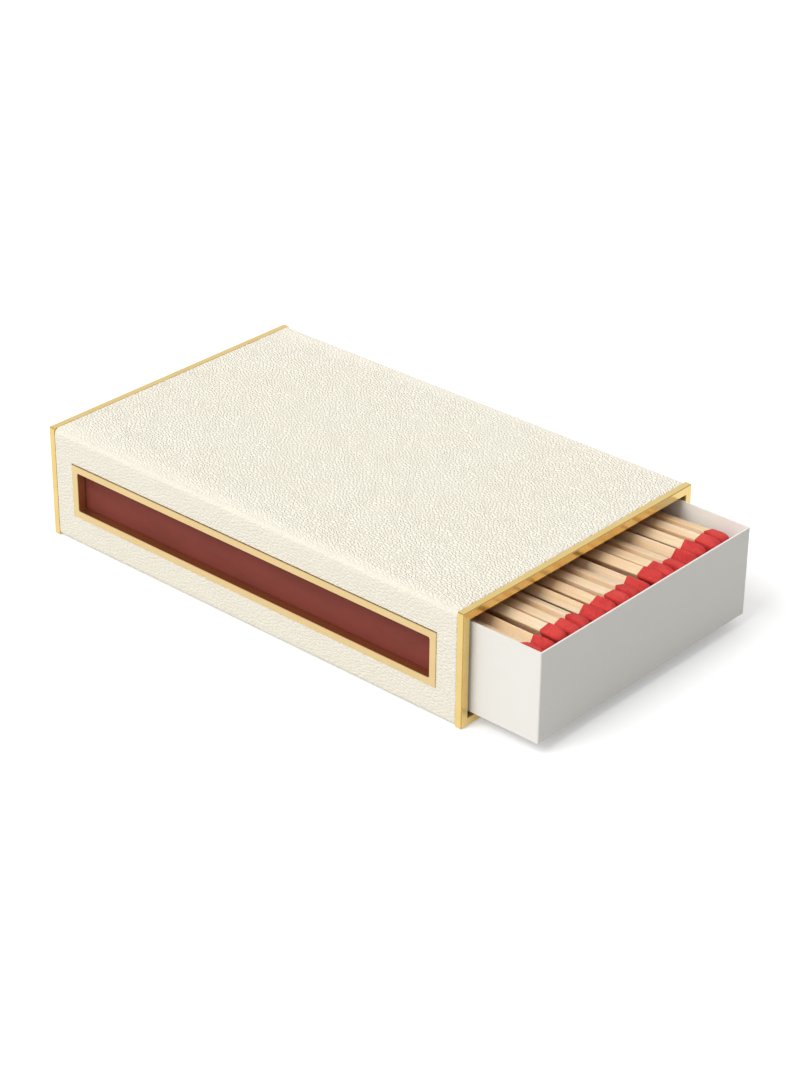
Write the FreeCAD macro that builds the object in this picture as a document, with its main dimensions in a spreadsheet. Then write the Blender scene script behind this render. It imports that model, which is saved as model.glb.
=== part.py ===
"""Matchbox holder: a leather-covered brass sleeve round a household matchbox, its tray of matches part drawn.

Millimetres, +Z up. +X is the way the tray is drawn, -Y the long side that faces the viewer, and the origin
is the middle of the holder's underside.
"""
import math
import os

import FreeCAD
import Part
import Sketcher

# Driving sizes: the holder, the matchbox inside it, the matches
SIZES = {
    "holder_length": 113.0,
    "holder_width": 70.0,
    "holder_height": 25.0,
    "leather_thickness": 1.1,
    "leather_edge_radius": 1.2,
    "leather_seam_gap": 0.2,
    "leather_seam_offset": 22.0,
    "leather_cut_gap": 0.1,
    "tube_wall": 0.8,
    "tube_bend_radius": 0.6,
    "frame_depth": 1.5,
    "frame_seat_depth": 0.6,
    "frame_edge_break": 0.15,
    "window_end_margin": 8.1,
    "window_height": 8.8,
    "bezel_face": 1.6,
    "bezel_proud": 0.15,
    "bezel_collar": 0.5,
    "bezel_corner_radius": 0.4,
    "bezel_edge_break": 0.1,
    "refill_setback": 1.5,
    "refill_headroom": 0.3,
    "refill_clearance": 0.15,
    "slide_gap": 0.1,
    "card_thickness": 0.35,
    "card_fold_radius": 0.3,
    "lap_setback": 1.5,
    "striker_thickness": 0.1,
    "striker_margin": 1.9,
    "tray_end_clearance": 0.2,
    "tray_reach": 16.3,
    "tray_clearance": 0.1,
    "tray_headroom": 0.2,
    "tab_length": 12.0,
    "tab_drop": 1.0,
    "stick_side": 2.4,
    "head_side": 3.0,
    "head_length": 5.3,
    "head_round": 0.45,
    "head_plain_chamfer": 0.27,
    "head_tip_chamfer": 0.3,
    "head_tip_wall": 0.8,
    "match_gap": 0.08,
    "match_side_room": 0.35,
    "match_tip_room": 0.4,
    "match_tail_room": 7.0,
    "match_lift_swing": 0.7,
    "match_tail_swing": 0.2,
    "match_setback_swing": 1.1,
}

# Sizes that follow from them
FOLLOWING_SIZES = {
    "wall_thickness": "leather_thickness + tube_wall",
    "bay_width": "holder_width - 2 * wall_thickness",
    "bay_height": "holder_height - 2 * wall_thickness",
    "tube_width": "bay_width + 2 * tube_wall",
    "tube_height": "bay_height + 2 * tube_wall",
    "leather_length": "holder_length - 2 * frame_depth",
    "tube_length": "leather_length + 2 * frame_seat_depth",
    "frame_back": "leather_length / 2",
    "frame_front": "holder_length / 2",
    "window_length": "holder_length - 2 * window_end_margin",
    "bezel_length": "window_length + 2 * bezel_face",
    "bezel_height": "window_height + 2 * bezel_face",
    "bezel_seat": "tube_width / 2",
    "bezel_depth": "leather_thickness + bezel_proud",
    "collar_length": "window_length + 2 * bezel_collar",
    "collar_height": "window_height + 2 * bezel_collar",
    "leather_cut_length": "bezel_length + 2 * leather_cut_gap",
    "leather_cut_height": "bezel_height + 2 * leather_cut_gap",
    "window_foot": "(holder_height - window_height) / 2",
    "bezel_foot": "(holder_height - bezel_height) / 2",
    "collar_foot": "(holder_height - collar_height) / 2",
    "leather_cut_foot": "(holder_height - leather_cut_height) / 2",
    "refill_length": "holder_length - 2 * refill_setback",
    "refill_height": "bay_height - slide_gap - refill_headroom",
    "sleeve_width": "bay_width - 2 * (refill_clearance + striker_thickness)",
    "sleeve_foot": "wall_thickness + slide_gap",
    "sleeve_inner_width": "sleeve_width - 2 * card_thickness",
    "sleeve_inner_height": "refill_height - 2 * card_thickness",
    "sleeve_inner_foot": "sleeve_foot + card_thickness",
    "striker_height": "refill_height - 2 * striker_margin",
    "striker_foot": "sleeve_foot + striker_margin",
    "tray_length": "refill_length - 2 * tray_end_clearance",
    "tray_width": "sleeve_inner_width - 2 * tray_clearance",
    "tray_foot": "sleeve_inner_foot + card_thickness + slide_gap",
    "tray_rim": "sleeve_foot + refill_height - card_thickness - tray_headroom",
    "tray_height": "tray_rim - tray_foot",
    "tray_floor": "tray_foot + card_thickness",
    "tray_inner_depth": "tray_rim - tray_floor",
    "tray_inner_length": "tray_length - 2 * card_thickness",
    "tray_inner_width": "tray_width - 2 * card_thickness",
    "tray_middle": "frame_front + tray_reach - tray_length / 2",
    "tab_height": "tray_inner_depth - tab_drop",
    "match_length": "tray_inner_length - match_tip_room - match_setback_swing - match_tail_room",
    "stick_length": "match_length - head_tip_wall",
    "head_socket": "head_length - head_tip_wall",
    "match_tip": "tray_middle + tray_inner_length / 2 - card_thickness - match_tip_room",
}

# How the matches lie: turns in degrees, and the steps by which each match differs from its neighbour
TOP_ROW_TURN = 42.0
BURIED_ROW_TURN = 14.0
TURN_STEP_SHARE = 0.7549
LIFT_STEP_SHARE = 0.6180
SWING_STEP_SHARE = 0.5698
SETBACK_STEP_SHARE = 0.4142
ROW_STEP_SHARE = 0.3247

# How near counts as the same place when edges are picked
SAME_PLACE = 1e-6

document = FreeCAD.newDocument("matchbox_holder")
sheet = document.addObject("Spreadsheet::Sheet", "Sizes")
for row, name in enumerate([*SIZES, *FOLLOWING_SIZES], start=1):
    sheet.set(f"A{row}", name)
    sheet.set(f"B{row}", str(SIZES[name]) if name in SIZES else f"={FOLLOWING_SIZES[name]}")
    sheet.setAlias(f"B{row}", name)
document.recompute()


def size(name):
    """A size as the sheet holds it."""
    return float(sheet.get(name))


def bind(item, **names):
    """Bind an object's properties to sizes of the sheet."""
    for property_name, name in names.items():
        item.setExpression(property_name, f"Sizes.{name}")


def centred(width):
    """The two sides of something that is centred on an axis."""
    return f"-Sizes.{width} / 2", f"Sizes.{width} / 2"


def standing(foot, height):
    """The lower and upper side of something that stands at a foot."""
    return f"Sizes.{foot}", f"Sizes.{foot} + Sizes.{height}"


def new_body(label):
    """An empty body with its label."""
    body = document.addObject("PartDesign::Body", label)
    body.Label = label
    return body


def new_sketch(body, name, role, level=None):
    """A sketch on one of the body's own planes, moved along the plane's normal to a level of the sheet."""
    sketch = body.newObject("Sketcher::SketchObject", name)
    plane = next(feature for feature in body.Origin.OriginFeatures if feature.Role == role)
    sketch.AttachmentSupport = (plane, "")
    sketch.MapMode = "FlatFace"
    if level:
        sketch.setExpression("AttachmentOffset.Base.z", f"Sizes.{level}")
    return sketch


def draw_rectangle(sketch, label, sides, ends):
    """A rectangle in a sketch, its left and right sides and its lower and upper ends bound to the sheet."""
    left, right = (sketch.evalExpression(formula) for formula in sides)
    low, high = (sketch.evalExpression(formula) for formula in ends)
    corners = [
        FreeCAD.Vector(left, low, 0),
        FreeCAD.Vector(right, low, 0),
        FreeCAD.Vector(right, high, 0),
        FreeCAD.Vector(left, high, 0),
    ]
    lines = [
        sketch.addGeometry(Part.LineSegment(start, end))
        for start, end in zip(corners, corners[1:] + corners[:1])
    ]
    for line, following in zip(lines, lines[1:] + lines[:1]):
        sketch.addConstraint(Sketcher.Constraint("Coincident", line, 2, following, 1))
    for kind, line in zip(("Horizontal", "Vertical", "Horizontal", "Vertical"), lines):
        sketch.addConstraint(Sketcher.Constraint(kind, line))
    placed = (
        ("left", "DistanceX", lines[0], left, sides[0]),
        ("right", "DistanceX", lines[2], right, sides[1]),
        ("low", "DistanceY", lines[0], low, ends[0]),
        ("high", "DistanceY", lines[2], high, ends[1]),
    )
    for side, kind, line, place, formula in placed:
        index = sketch.addConstraint(Sketcher.Constraint(kind, -1, 1, line, 1, place))
        sketch.renameConstraint(index, f"{label}_{side}")
        sketch.setExpression(f"Constraints.{label}_{side}", formula)


def add_pad(body, name, sketch, length, sides="One side", backwards=False):
    """Grow a sketch into a solid by a size of the sheet."""
    pad = body.newObject("PartDesign::Pad", name)
    pad.Profile = sketch
    pad.SideType = sides
    pad.Reversed = backwards
    bind(pad, Length=length)
    document.recompute()
    return pad


def add_pocket(body, name, sketch, length=None, backwards=False):
    """Cut a sketch out of the solid, by a size of the sheet or right through both ways."""
    before = body.Shape.Volume
    pocket = body.newObject("PartDesign::Pocket", name)
    pocket.Profile = sketch
    pocket.Reversed = backwards
    if length:
        bind(pocket, Length=length)
    else:
        pocket.Type = "ThroughAll"
        pocket.SideType = "Symmetric"
    document.recompute()
    if body.Shape.Volume >= before:
        raise RuntimeError(f"{name} of {body.Label} cuts nothing")
    return pocket


def soften_edges(body, name, base, picked, radius=None, chamfer=None):
    """Round or chamfer those edges of a feature that a test picks."""
    softened = body.newObject("PartDesign::Fillet" if radius else "PartDesign::Chamfer", name)
    numbers = [number for number, edge in enumerate(base.Shape.Edges, start=1) if picked(edge)]
    softened.Base = (base, [f"Edge{number}" for number in numbers])
    if radius:
        bind(softened, Radius=radius)
    else:
        bind(softened, Size=chamfer)
    document.recompute()
    return softened


def reach(edge, direction):
    """The least and greatest place of an edge along a direction."""
    places = [getattr(vertex.Point, direction) for vertex in edge.Vertexes]
    return min(places), max(places)


def lies_at(edge, direction, place):
    """Whether a whole edge lies at one place along a direction, on either side of the middle."""
    return all(abs(abs(end) - place) < SAME_PLACE for end in reach(edge, direction))


def runs_along(edge, direction):
    """Whether an edge is straight and parallel to a direction."""
    least, greatest = reach(edge, direction)
    return greatest - least > edge.Length - SAME_PLACE


def turn_to_far_side(body):
    """Turn a body half round about the upright axis, to the opposite side of the holder."""
    body.Placement = FreeCAD.Placement(FreeCAD.Vector(), FreeCAD.Rotation(FreeCAD.Vector(0, 0, 1), 180))


def make_liner_tube():
    """The folded brass tube that carries all the rest, with a cut-out in each side for the window frames."""
    body = new_body("liner_tube")
    profile = new_sketch(body, "tube_profile", "YZ_Plane")
    draw_rectangle(profile, "outside", centred("tube_width"), standing("leather_thickness", "tube_height"))
    draw_rectangle(profile, "bay", centred("bay_width"), standing("wall_thickness", "bay_height"))
    tube = add_pad(body, "tube_walls", profile, "tube_length", sides="Symmetric")
    soften_edges(
        body,
        "tube_bends",
        tube,
        lambda edge: runs_along(edge, "x") and lies_at(edge, "y", size("tube_width") / 2),
        radius="tube_bend_radius",
    )
    cut = new_sketch(body, "window_cut", "XZ_Plane")
    draw_rectangle(cut, "cut", centred("collar_length"), standing("collar_foot", "collar_height"))
    add_pocket(body, "window_openings", cut)
    return body


def make_leather_cover():
    """The leather, one strip wrapped round the tube, its ends meeting in a seam along the underside."""
    body = new_body("leather_cover")
    profile = new_sketch(body, "wrap_profile", "YZ_Plane")
    draw_rectangle(profile, "outside", centred("holder_width"), ("0", "Sizes.holder_height"))
    draw_rectangle(profile, "inside", centred("tube_width"), standing("leather_thickness", "tube_height"))
    wrap = add_pad(body, "wrap", profile, "leather_length", sides="Symmetric")
    outer = soften_edges(
        body,
        "outer_edges",
        wrap,
        lambda edge: runs_along(edge, "x") and lies_at(edge, "y", size("holder_width") / 2),
        radius="leather_edge_radius",
    )
    soften_edges(
        body,
        "inner_edges",
        outer,
        lambda edge: runs_along(edge, "x") and lies_at(edge, "y", size("tube_width") / 2),
        radius="tube_bend_radius",
    )
    cut = new_sketch(body, "window_cut", "XZ_Plane")
    draw_rectangle(cut, "cut", centred("leather_cut_length"), standing("leather_cut_foot", "leather_cut_height"))
    add_pocket(body, "window_openings", cut)
    seam = new_sketch(body, "seam_line", "XY_Plane")
    seam_ends = ("Sizes.leather_seam_offset", "Sizes.leather_seam_offset + Sizes.leather_seam_gap")
    draw_rectangle(seam, "seam", centred("holder_length"), seam_ends)
    add_pocket(body, "seam", seam, "leather_thickness", backwards=True)
    return body


def make_end_frame(label):
    """A brass end frame, square cornered, with a seat in its back for the end of the tube."""
    body = new_body(label)
    profile = new_sketch(body, "frame_profile", "YZ_Plane", "frame_back")
    draw_rectangle(profile, "outside", centred("holder_width"), ("0", "Sizes.holder_height"))
    draw_rectangle(profile, "mouth", centred("bay_width"), standing("wall_thickness", "bay_height"))
    frame = add_pad(body, "frame", profile, "frame_depth")
    soften_edges(
        body,
        "broken_edges",
        frame,
        lambda edge: lies_at(edge, "x", size("frame_front"))
        or runs_along(edge, "x") and lies_at(edge, "y", size("holder_width") / 2),
        chamfer="frame_edge_break",
    )
    seat = new_sketch(body, "seat_outline", "YZ_Plane", "frame_back")
    draw_rectangle(seat, "seat", centred("tube_width"), standing("leather_thickness", "tube_height"))
    add_pocket(body, "tube_seat", seat, "frame_seat_depth", backwards=True)
    return body


def make_window_frame(label):
    """A brass window frame: a face that lies in the leather and a collar that lines the tube's cut-out."""
    body = new_body(label)
    face_outline = new_sketch(body, "face_outline", "XZ_Plane", "bezel_seat")
    draw_rectangle(face_outline, "outside", centred("bezel_length"), standing("bezel_foot", "bezel_height"))
    draw_rectangle(face_outline, "window", centred("window_length"), standing("window_foot", "window_height"))
    add_pad(body, "face", face_outline, "bezel_depth")
    collar_outline = new_sketch(body, "collar_outline", "XZ_Plane", "bezel_seat")
    draw_rectangle(collar_outline, "outside", centred("collar_length"), standing("collar_foot", "collar_height"))
    draw_rectangle(collar_outline, "window", centred("window_length"), standing("window_foot", "window_height"))
    collar = add_pad(body, "collar", collar_outline, "tube_wall", backwards=True)
    corners = soften_edges(
        body,
        "window_corners",
        collar,
        lambda edge: runs_along(edge, "y") and lies_at(edge, "x", size("window_length") / 2),
        radius="bezel_corner_radius",
    )
    soften_edges(
        body,
        "broken_edges",
        corners,
        lambda edge: lies_at(edge, "y", size("bezel_seat") + size("bezel_depth")),
        chamfer="bezel_edge_break",
    )
    return body


def make_matchbox_sleeve():
    """The card sleeve of the matchbox, its first panel lapped inside its last one along the base."""
    body = new_body("matchbox_sleeve")
    profile = new_sketch(body, "sleeve_profile", "YZ_Plane")
    draw_rectangle(profile, "outside", centred("sleeve_width"), standing("sleeve_foot", "refill_height"))
    draw_rectangle(
        profile, "inside", centred("sleeve_inner_width"), standing("sleeve_inner_foot", "sleeve_inner_height")
    )
    panels = add_pad(body, "panels", profile, "refill_length", sides="Symmetric")
    soften_edges(
        body,
        "folds",
        panels,
        lambda edge: runs_along(edge, "x") and lies_at(edge, "y", size("sleeve_width") / 2),
        radius="card_fold_radius",
    )
    lap_profile = new_sketch(body, "lap_profile", "YZ_Plane")
    lap_sides = ("Sizes.lap_setback - Sizes.sleeve_inner_width / 2", "Sizes.sleeve_inner_width / 2")
    draw_rectangle(lap_profile, "lap", lap_sides, standing("sleeve_inner_foot", "card_thickness"))
    add_pad(body, "lap", lap_profile, "refill_length", sides="Symmetric")
    return body


def make_striker(label, side_formula):
    """A striking strip on one side of the card sleeve."""
    strip = document.addObject("Part::Box", label)
    strip.Label = label
    bind(strip, Length="refill_length", Width="striker_thickness", Height="striker_height")
    strip.setExpression("Placement.Base.x", "-Sizes.refill_length / 2")
    strip.setExpression("Placement.Base.y", side_formula)
    strip.setExpression("Placement.Base.z", "Sizes.striker_foot")
    return strip


def make_matchbox_tray():
    """The card tray, folded up from one sheet, with the four tabs of its sides glued behind its ends."""
    body = new_body("matchbox_tray")
    outline = new_sketch(body, "tray_outline", "XY_Plane", "tray_foot")
    draw_rectangle(outline, "outside", centred("tray_length"), centred("tray_width"))
    block = add_pad(body, "tray_block", outline, "tray_height")
    soften_edges(body, "folds", block, lambda edge: runs_along(edge, "z"), radius="card_fold_radius")
    hollow = new_sketch(body, "hollow_outline", "XY_Plane", "tray_floor")
    draw_rectangle(hollow, "inside", centred("tray_inner_length"), centred("tray_inner_width"))
    add_pocket(body, "hollow", hollow, "tray_inner_depth", backwards=True)
    tabs = new_sketch(body, "tab_outlines", "XY_Plane", "tray_floor")
    end_wall = "Sizes.tray_inner_length / 2"
    side_wall = "Sizes.tray_inner_width / 2"
    for end_name, end_sides in (
        ("rear", (f"-{end_wall}", f"Sizes.card_thickness - {end_wall}")),
        ("front", (f"{end_wall} - Sizes.card_thickness", end_wall)),
    ):
        for side_name, side_ends in (
            ("near", (f"-{side_wall}", f"Sizes.tab_length - {side_wall}")),
            ("far", (f"{side_wall} - Sizes.tab_length", side_wall)),
        ):
            draw_rectangle(tabs, f"{end_name}_{side_name}", end_sides, side_ends)
    add_pad(body, "tabs", tabs, "tab_height")
    bind(body, **{"Placement.Base.x": "tray_middle"})
    return body


def hop(number, step_share):
    """A share from minus one to one that hops about from match to match."""
    return 2 * ((number * step_share) % 1) - 1


def half_across(side, rounding, turn):
    """Half the height and width of a square of rounded corners that is turned in its plane."""
    spread = math.cos(math.radians(turn)) + math.sin(math.radians(abs(turn)))
    return (side / 2 - rounding) * spread + rounding


def lay_match(head_middle, tail_middle, turn, head_level, tail_level, setback):
    """The place of one match, from where the middle of its head and the end of its tail lie."""
    to_head = size("match_length") - size("head_length") / 2
    head = FreeCAD.Vector(size("match_tip") - setback - size("head_length") / 2, head_middle, head_level)
    sideways = tail_middle - head_middle
    drop = tail_level - head_level
    along = math.sqrt(to_head**2 - sideways**2 - drop**2)
    tail = head + FreeCAD.Vector(-along, sideways, drop)
    lengthwise = FreeCAD.Vector(1, 0, 0)
    aim = FreeCAD.Rotation(lengthwise, head - tail)
    return FreeCAD.Placement(tail, aim.multiply(FreeCAD.Rotation(lengthwise, turn)))


def make_stick(label, place):
    """A square wooden stick, its tail at the given place."""
    stick = document.addObject("Part::Box", label)
    stick.Label = label
    bind(stick, Length="stick_length", Width="stick_side", Height="stick_side")
    centre = FreeCAD.Vector(0, -size("stick_side") / 2, -size("stick_side") / 2)
    stick.Placement = place.multiply(FreeCAD.Placement(centre, FreeCAD.Rotation()))
    return stick


def make_head_form(label, tip_chamfer, **softening):
    """A dipped head, its back at the origin: a soft-edged block with a socket that the stick fills."""
    form = new_body(label)
    outline = new_sketch(form, "head_outline", "YZ_Plane")
    draw_rectangle(outline, "outside", centred("head_side"), centred("head_side"))
    block = add_pad(form, "block", outline, "head_length")
    sides = soften_edges(form, "long_edges", block, lambda edge: runs_along(edge, "x"), **softening)
    soften_edges(
        form,
        "tip_edges",
        sides,
        lambda edge: lies_at(edge, "x", size("head_length")),
        chamfer=tip_chamfer,
    )
    socket = new_sketch(form, "socket_outline", "YZ_Plane")
    draw_rectangle(socket, "socket", centred("stick_side"), centred("stick_side"))
    add_pocket(form, "socket", socket, "head_socket", backwards=True)
    return form


def make_head(label, form, place):
    """A head of the given form on the end of the match that lies at the given place."""
    head = document.addObject("Part::Compound", label)
    head.Label = label
    head.Links = [form]
    back = FreeCAD.Vector(size("match_length") - size("head_length"), 0, 0)
    head.Placement = place.multiply(FreeCAD.Placement(back, FreeCAD.Rotation()))
    return head


def fill_row(row, turn_limit):
    """Turns of the matches whose heads fill a row from wall to wall, each with its number and its head's middle."""
    edge = size("match_side_room") - size("tray_inner_width") / 2
    filled = []
    while True:
        number = len(filled) + row / ROW_STEP_SHARE
        turn = turn_limit * hop(number, TURN_STEP_SHARE)
        half_head = half_across(size("head_side"), size("head_round"), turn)
        if edge + 2 * half_head > size("tray_inner_width") / 2 - size("match_side_room"):
            return filled
        filled.append((number, turn, edge + half_head))
        edge += 2 * half_head + size("match_gap")


def lay_row(row, turn_limit, lift_limit, head_floor, tail_floor):
    """The places of one row of matches, their heads side by side and their thinner tails drawn together."""
    filled = fill_row(row, turn_limit)
    tail_halves = [half_across(size("stick_side"), 0, turn) for number, turn, head_middle in filled]
    tail_gaps = [
        size("match_gap") + size("match_tail_swing") * (1 + hop(number, SWING_STEP_SHARE)) / 2
        for number, turn, head_middle in filled
    ]
    tail_edge = -sum(tail_halves) - sum(tail_gaps) / 2
    places = []
    for (number, turn, head_middle), tail_half, tail_gap in zip(filled, tail_halves, tail_gaps):
        half_head = half_across(size("head_side"), size("head_round"), turn)
        lift = lift_limit * (1 + hop(number, LIFT_STEP_SHARE)) / 2
        setback = size("match_setback_swing") * (1 + hop(number, SETBACK_STEP_SHARE)) / 2
        head_level = head_floor + half_head + lift
        tail_level = tail_floor + tail_half
        places.append(lay_match(head_middle, tail_edge + tail_half, turn, head_level, tail_level, setback))
        tail_edge += 2 * tail_half + tail_gap
    return places


def make_matches():
    """All matches in the tray: the rows underneath, each as a group, and every match of the top row by itself."""
    gap = size("match_gap")
    head_rise = 2 * half_across(size("head_side"), size("head_round"), BURIED_ROW_TURN) + gap
    tail_rise = 2 * half_across(size("stick_side"), 0, BURIED_ROW_TURN) + gap
    top_height = 2 * half_across(size("head_side"), size("head_round"), TOP_ROW_TURN) + size("match_lift_swing")
    buried_rows = int((size("tray_inner_depth") - top_height) / head_rise)
    floor = size("tray_floor") + gap
    soft_form = make_head_form("top_head_form", "head_tip_chamfer", radius="head_round")
    plain_form = make_head_form("buried_head_form", "head_plain_chamfer", chamfer="head_plain_chamfer")
    pieces = []
    for row in range(buried_rows):
        sticks = []
        heads = []
        places = lay_row(row, BURIED_ROW_TURN, 0, floor + row * head_rise, floor + row * tail_rise)
        for index, place in enumerate(places, start=1):
            sticks.append(make_stick(f"buried_{row + 1}_{index}_stick", place))
            heads.append(make_head(f"buried_{row + 1}_{index}_head", plain_form, place))
        for kind, members in (("sticks", sticks), ("heads", heads)):
            group = document.addObject("Part::Compound", f"buried_row_{row + 1}_{kind}")
            group.Label = f"buried_row_{row + 1}_{kind}"
            group.Links = members
            pieces.append(group)
    top_head_floor = floor + buried_rows * head_rise
    top_tail_floor = floor + buried_rows * tail_rise
    top_row = lay_row(buried_rows, TOP_ROW_TURN, size("match_lift_swing"), top_head_floor, top_tail_floor)
    for index, place in enumerate(top_row, start=1):
        stick = make_stick(f"match_{index:02d}_stick", place)
        pieces += [stick, make_head(f"match_{index:02d}_head", soft_form, place)]
    return pieces


# The holder
pieces = [make_liner_tube(), make_leather_cover()]
front_frame = make_end_frame("front_end_frame")
rear_frame = make_end_frame("rear_end_frame")
turn_to_far_side(rear_frame)
near_window = make_window_frame("near_window_frame")
far_window = make_window_frame("far_window_frame")
turn_to_far_side(far_window)
pieces += [front_frame, rear_frame, near_window, far_window]

# The matchbox and its matches
pieces.append(make_matchbox_sleeve())
pieces.append(make_striker("near_striker", "-Sizes.sleeve_width / 2 - Sizes.striker_thickness"))
pieces.append(make_striker("far_striker", "Sizes.sleeve_width / 2"))
pieces.append(make_matchbox_tray())
pieces += make_matches()
document.recompute()

# Nothing is written unless every object is sound
for item in document.Objects:
    if "Invalid" in item.State or "Error" in item.State:
        raise RuntimeError(f"{item.Label} failed: {item.State}")
for piece in pieces:
    if piece.Shape.isNull() or not piece.Shape.isValid():
        raise RuntimeError(f"{piece.Label} has no sound shape")
os.makedirs("parts", exist_ok=True)
for piece in pieces:
    piece.Shape.exportStep(f"parts/{piece.Label}.step")
print(f"{len(pieces)} pieces written")
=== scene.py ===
"""Looks of the matchbox holder: cream pebbled leather, polished brass, white card and red-headed matches."""
import math

import bpy
import numpy as np
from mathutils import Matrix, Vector, noise


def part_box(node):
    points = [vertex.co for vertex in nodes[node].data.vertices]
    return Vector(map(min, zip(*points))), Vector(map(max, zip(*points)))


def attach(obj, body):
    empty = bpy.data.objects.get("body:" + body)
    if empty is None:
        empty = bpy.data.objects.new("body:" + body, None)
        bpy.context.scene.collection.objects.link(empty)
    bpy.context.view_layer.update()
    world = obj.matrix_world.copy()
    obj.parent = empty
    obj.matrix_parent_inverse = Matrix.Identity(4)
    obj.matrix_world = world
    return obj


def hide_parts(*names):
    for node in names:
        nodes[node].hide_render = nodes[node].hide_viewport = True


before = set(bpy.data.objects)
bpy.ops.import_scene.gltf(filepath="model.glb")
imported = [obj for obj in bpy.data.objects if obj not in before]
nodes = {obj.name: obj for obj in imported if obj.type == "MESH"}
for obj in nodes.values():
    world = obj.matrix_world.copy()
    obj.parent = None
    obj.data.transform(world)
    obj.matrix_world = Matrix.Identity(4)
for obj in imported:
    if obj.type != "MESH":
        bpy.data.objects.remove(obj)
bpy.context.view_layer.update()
MM = 0.001
QUARTER_TURN = math.pi / 2

# Leather wrap, in millimetres
LEATHER_BEND = 1.2
LEATHER_THICKNESS = 1.08
LEATHER_LIP = 0.28
LEATHER_CUT_LIP = 0.14
LEATHER_CUT_GAP = 0.02
LEATHER_TOP_GAP = 0.1
LEATHER_SEAM = (22.0, 22.2)
LEATHER_STEP = 1.3
LEATHER_WAVE = 0.006
LEATHER_WAVE_LENGTH = 9
LIP_STEPS = (0.0, 0.04, 0.09, 0.15, 0.28, 0.6)
LEAST_STEP = 0.02
SAME_POINT = 1e-4
BEND_STEPS = 7

# How squarely a point of the wrap has to face a side to count as part of it
SQUARE_SHARE = 0.999

# Depth of the leather's grain, as shares of its depth on the top, and the width of the band beside the bends
# in which it flattens, in millimetres at the front and at the rear
SIDE_RELIEF_SHARE = 0.4
BEND_RELIEF_SHARE = 0.55
SMOOTH_BAND = (1.5, 7.0)
SMOOTH_BAND_WANDER_SHARE = 0.5
SMOOTH_BAND_PATCH = 5

# Match sticks, in millimetres
STICK_STATIONS = 15
STICK_EDGE_BREAK = 0.14
STICK_EDGE_SHARES = (0.6, 1.3)
STICK_FACE_EASE = 0.02
STICK_BOW = 0.05
STICK_TAIL_SKEW = 0.12
STICK_TAIL_TRIM = 0.15
STICK_IN_HEAD = 2.2
STICK_SIDE_SHARES = (0.89, 0.99)
STICK_TONES = 60
STICK_TONE_STEP = (7, 3)
STICK_SEED = 1000

# Match heads, in millimetres
HEAD_SIDE_SHARES = (0.93, 0.995)
HEAD_BACK_WANDER = 0.45
HEAD_BACK_EDGE = 0.5
HEAD_BACK_EDGE_SHARE = 0.3
HEAD_TIP_WANDER = 0.5
HEAD_CORNER_STEPS = 4
HEAD_LUMP_SHARE = 0.09
HEAD_BACK_LUMP_SHARE = 0.4
HEAD_BACK_SHARE = 0.05
HEAD_LUMPS_PER_MM = 0.7
HEAD_LUMP_SHIFT = 7
HEAD_SEED = 2000

# Shares of a head's length, with how far its sides are drawn in there and the rounding of its corners
HEAD_PROFILE = (
    (0.0, 0.17, 0.3),
    (0.03, 0.1, 0.36),
    (0.1, 0.03, 0.46),
    (0.3, 0.0, 0.54),
    (0.5, 0.0, 0.6),
    (0.68, 0.04, 0.66),
    (0.8, 0.14, 0.74),
    (0.89, 0.32, 0.8),
    (0.955, 0.6, 0.74),
    (1.0, 1.02, 0.32),
)

# Angles in degrees above which an edge shows as sharp
SHARP_ANGLES = {"leather": 50, "stick": 25, "head": 55}


# --- Meshes -------------------------------------------------------------------------------------------------


def new_piece(name, points, faces, body, stands_for, sharp_angle):
    """A mesh piece, in millimetres, that rides on a body and stands for a solid of the frame."""
    mesh = bpy.data.meshes.new(name)
    mesh.from_pydata((np.asarray(points) * MM).tolist(), [], faces)
    mesh.validate()
    mesh.update()
    piece = bpy.data.objects.new(name, mesh)
    bpy.context.scene.collection.objects.link(piece)
    mesh.shade_smooth()
    mesh.set_sharp_from_angle(angle=math.radians(sharp_angle))
    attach(piece, body)
    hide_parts(stands_for)
    return piece


def keep_places(piece, name, places):
    """Keep a place for every point of a piece, in millimetres, for its material to read."""
    attribute = piece.data.attributes.new(name, "FLOAT_VECTOR", "POINT")
    attribute.data.foreach_set("vector", np.asarray(places, np.float32).ravel())


def keep_shares(piece, name, shares):
    """Keep a share, from 0 to 1, for every point of a piece, for its material to read."""
    attribute = piece.data.attributes.new(name, "FLOAT", "POINT")
    attribute.data.foreach_set("value", np.asarray(shares, np.float32))


def stations(start, end, fine_start=False, fine_end=False):
    """Places along a run of leather, closer together next to a free edge at its start or its end."""
    count = max(2, round((end - start) / LEATHER_STEP))
    places = list(np.linspace(start, end, count + 1))
    places += [start + lip for lip in LIP_STEPS if fine_start]
    places += [end - lip for lip in LIP_STEPS if fine_end]
    places.sort()
    kept = [places[0]]
    for place in places[1:]:
        if place - kept[-1] > LEAST_STEP:
            kept.append(place)
    kept[-1] = end
    return kept


def lip_drop(distance, radius):
    """How far a rounded leather edge lies below the face at a distance from the edge."""
    inside = np.clip(radius - distance, 0, radius)
    return radius - np.sqrt(radius**2 - inside**2)


def leather_bend(centre_y, centre_z, start):
    """Places and outward ways along a quarter round of the wrap."""
    angles = np.linspace(start, start + QUARTER_TURN, BEND_STEPS + 1)
    ways = [(math.cos(angle), math.sin(angle)) for angle in angles]
    return [(centre_y + LEATHER_BEND * y, centre_z + LEATHER_BEND * z, y, z) for y, z in ways]


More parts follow.
